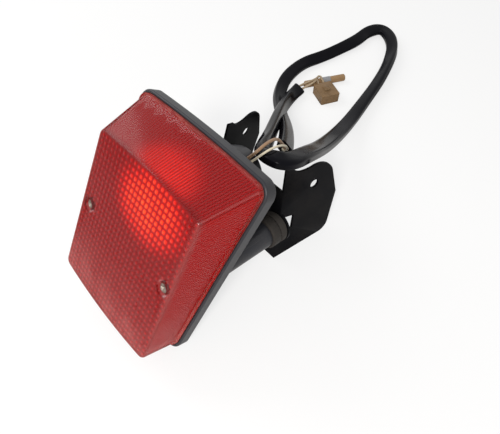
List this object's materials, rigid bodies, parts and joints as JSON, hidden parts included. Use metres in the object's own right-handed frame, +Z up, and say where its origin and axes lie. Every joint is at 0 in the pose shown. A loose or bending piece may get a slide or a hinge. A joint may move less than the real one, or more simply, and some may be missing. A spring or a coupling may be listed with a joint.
{
  "type": "tail light",
  "caption": "Red tapered rear lamp on a charcoal tub with a round bulb bowl, held by two rubber dampers to an open channel bracket, with a sleeved wire and two connectors.",
  "frame": {"origin": "middle of the bottom of the lamp and bracket, on the bench they lie on", "axes": "+X to the right seen from the lens, along the two ear holes; +Z up from the bench, the lens faces -Y tipped 33 degrees upwards"},
  "size_m": [0.211, 0.5378, 0.1481],
  "materials": {
    "lens": "red transparent moulded plastic, pillow optics inside, fine flutes on the sides",
    "housing": "charcoal moulded plastic, satin, dusty",
    "gasket": "thin seal strip",
    "screw_steel": "zinc plated, slightly worn",
    "seal": "black",
    "insert_brass": "knurled insert",
    "reflector": "bright pressed metal",
    "bulb_glass": "clear",
    "bulb_metal": "bulb cap",
    "bulb_inner": "clear foot",
    "filament": "wound wire",
    "socket_steel": "zinc plated",
    "contact_brass": "plain",
    "insulator": "brown board",
    "bracket_paint": "black paint, dusty with rust smudges",
    "damper_rubber": "aged, dusty brown-grey",
    "fixing_steel": "dull plated",
    "sleeve": "soft black vinyl tube",
    "wire_brown": "brown insulation",
    "wire_cream": "cream insulation",
    "plug_plastic": "dirty natural plastic",
    "boot_vinyl": "dirty translucent vinyl",
    "boot_band": "grey band"
  },
  "bodies": {
    "lamp": {"lens_gasket": "gasket", "housing": "housing", "screw_inserts": "insert_brass", "reflector": "reflector", "bulb_socket": "socket_steel", "contact_springs": "socket_steel", "socket_insulator": "insulator", "wire_grommet": "seal", "wire_brown": "wire_brown", "wire_cream": "wire_cream", "harness_sleeve": "sleeve", "plug_housing": "plug_plastic", "plug_terminals": "contact_brass", "plug_wires": "wire_cream", "bullet_boot": "boot_vinyl", "bullet_band": "boot_band", "bullet_wire": "wire_brown", "bracket": "bracket_paint", "rubber_dampers": "damper_rubber", "damper_collars": "fixing_steel", "damper_washers": "fixing_steel", "damper_nuts": "fixing_steel", "damper_studs": "fixing_steel"},
    "lens": {"lens": "lens", "lens_screws": "screw_steel", "screw_seals": "seal"},
    "plungers": {"contact_plungers": "contact_brass"},
    "bulb": {"bulb_glass": "bulb_glass", "bulb_cap": "bulb_metal", "bulb_pins": "bulb_metal", "bulb_contacts": "contact_brass", "bulb_stem": "bulb_inner", "filaments": "filament"}
  },
  "joints": [
    {"name": "lens_slide", "type": "slide", "parent": "lamp", "child": "lens", "axis": [0, -0.8387, 0.5446], "range_m": [0, 0.07]},
    {"name": "bulb_push", "type": "slide", "parent": "lamp", "child": "plungers", "axis": [0, 0.8387, -0.5446], "range_m": [0, 0.0015], "deforming": ["contact_springs"]},
    {"name": "bulb_turn", "type": "hinge", "parent": "plungers", "child": "bulb", "pos_m": [0, 0.02554, 0.08475], "axis": [0, 0.8387, -0.5446], "range_deg": [0, 20]}
  ]
}
